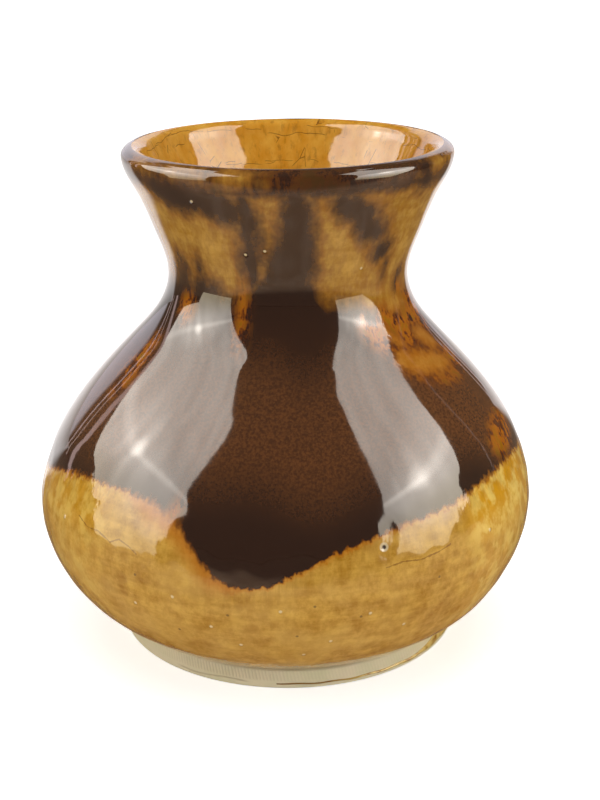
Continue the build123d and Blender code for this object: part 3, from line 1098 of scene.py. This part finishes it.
def make_world():
    """A room with a bright wall behind the vase, dim sides and a dark front; to the camera it is white."""
    world = bpy.data.worlds.new("room")
    s = Shader("room", world)
    x, y, z = turned_to_wall(s)
    inside_wall = s.maths("SUBTRACT", s.times(y, WALL_WIDTH), s.maths("ABSOLUTE", x))
    inside_wall = s.maths("MINIMUM", inside_wall, s.maths("SUBTRACT", WALL_TOP, z))
    room = s.mix(s.ramp(y, -0.45, -0.1), ROOM_FRONT, ROOM_SIDE)
    room = s.mix(s.ramp(inside_wall, -0.03, 0.05), room, ROOM_WALL)
    to_camera = s.node("ShaderNodeLightPath").outputs["Is Camera Ray"]
    s.set(Color=s.mix(to_camera, room, (1, 1, 1)))
    bpy.context.scene.world = world


def make_camera():
    """The camera, above and in front, looking slightly down."""
    data = bpy.data.cameras.new("camera")
    data.lens = CAMERA_LENS
    data.sensor_width = 36
    camera = bpy.data.objects.new("camera", data)
    camera.location = CAMERA_PLACE
    camera.rotation_euler = Euler((radians(90 - CAMERA_DOWN), 0, radians(CAMERA_TURN)))
    bpy.context.scene.collection.objects.link(camera)
    bpy.context.scene.camera = camera


# Sizes of the stage in metres, its angles in degrees, and its colours
CAMERA_LENS = 65.25
CAMERA_PLACE = (0, -0.3093, 0.1596)
CAMERA_DOWN = 19.23
CAMERA_TURN = -0.49
FLOOR_HALF = 8
DARK_HALF = 2.5
DARK_LIFT = 0.0002
PAPER_FRONT = -0.195  # nearer than this the glaze mirrors a dark floor
PAPER_FADE = 0.08
PAPER = (0.86, 0.86, 0.86)
PAPER_DIM = (0.50, 0.33, 0.20)
PAPER_WARM = (0.66, 0.48, 0.34)
PAPER_BESIDE = (0.20, 0.14, 0.09)
PAPER_BEHIND = (1.0, 0.96, 0.97)
PANEL_X = 0.35
LEFT_STRENGTH = 3.45
RIGHT_STRENGTH = 3.1
POST_DISTANCE = 1.2
POST_HEIGHT = 1.4
WALL_TURN = -7.5  # degrees from straight behind to the bright wall's middle
WALL_WIDTH = 0.69  # half its width over its distance
WALL_TOP = 0.58  # sine of how high it reaches
ROOM_FRONT = (0.04, 0.035, 0.03)
ROOM_SIDE = (0.12, 0.09, 0.06)
ROOM_WALL = (1.15, 1.10, 1.18)
CLOTH = (1.0, 0.93, 0.84)
CLOTH_LOW = (0.72, 0.62, 0.42)

# Each panel's outline as (y, z), and its creases as (y, z, half length along Y, half height, strength)
LEFT_PANEL = [
    (-0.26, 0), (-0.04, 0), (-0.02, 0.085), (0.10, 0.115), (0.135, 0.155), (0.195, 0.24),
    (0.20, 0.80), (-0.34, 0.81), (-0.36, 0.70), (-0.30, 0.44), (-0.27, 0.25),
]
LEFT_CREASES = [
    (-0.022, 0.250, 0.036, 0.046, 4.2),
    (-0.080, 0.238, 0.460, 0.030, 1.6),
    (-0.022, 0.250, 0.028, 0.170, 1.0),
    (0.040, 0.250, 0.026, 0.140, 0.8),
    (-0.040, 0.240, 0.200, 0.150, 1.7),
]
RIGHT_PANEL = [
    (-0.375, 0), (-0.12, 0), (-0.072, 0.058), (-0.042, 0.099), (-0.009, 0.142),
    (0.014, 0.203), (0.036, 0.255), (0.048, 0.306), (0.065, 0.36), (0.08, 0.87),
    (-0.28, 0.87), (-0.30, 0.58), (-0.34, 0.24),
]
RIGHT_CREASES = [
    (-0.148, 0.232, 0.075, 0.070, 3.9),
    (-0.150, 0.228, 0.460, 0.034, 1.8),
    (-0.130, 0.240, 0.040, 0.130, 0.6),
    (-0.110, 0.180, 0.260, 0.240, 2.5),
]

# Each post's name, azimuth, width in degrees and colour
POSTS = [
    ("post_1", -122.5, 3.0, (1.5, 1.1, 1.05)),
    ("post_2", -128.5, 0.6, (1.6, 1.2, 1.1)),
    ("post_3", -131.8, 0.8, (1.8, 1.4, 1.4)),
    ("post_4", 114.0, 0.7, (0.7, 0.55, 0.5)),
    ("post_5", 146.0, 0.6, (1.3, 1.1, 1.1)),
    ("post_6", 149.5, 1.0, (1.3, 1.15, 1.2)),
]

# Each light's name, size, place, target, brightness and colour
LIGHTS = [
    ("top_fill", (1.2, 1.2), (0, 0, 1.0), (0, 0, 0), 1.5, (1, 0.99, 0.97)),
    ("left_fill", (0.6, 0.5), (-0.5, -0.35, 0.28), (0, 0, 0.05), 1.9, (1, 0.98, 0.95)),
    ("right_fill", (0.6, 0.5), (0.5, -0.35, 0.28), (0, 0, 0.05), 2.15, (1, 0.98, 0.95)),
]

make_plane("floor", floor_corners(FLOOR_HALF, -FLOOR_HALF, FLOOR_HALF), floor_paper(), False)
dark_corners = floor_corners(DARK_HALF, -DARK_HALF, PAPER_FRONT, DARK_LIFT)
make_plane("dark_front", dark_corners, glowing("dark_room", ROOM_FRONT))
make_world()
make_side_panel("panel_left", -PANEL_X, LEFT_PANEL, LEFT_STRENGTH, LEFT_CREASES)
make_side_panel("panel_right", PANEL_X, RIGHT_PANEL, RIGHT_STRENGTH, RIGHT_CREASES)
for post in POSTS:
    make_post(*post)
for light in LIGHTS:
    make_light(*light)
make_camera()

bpy.context.scene.view_settings.view_transform = "Standard"
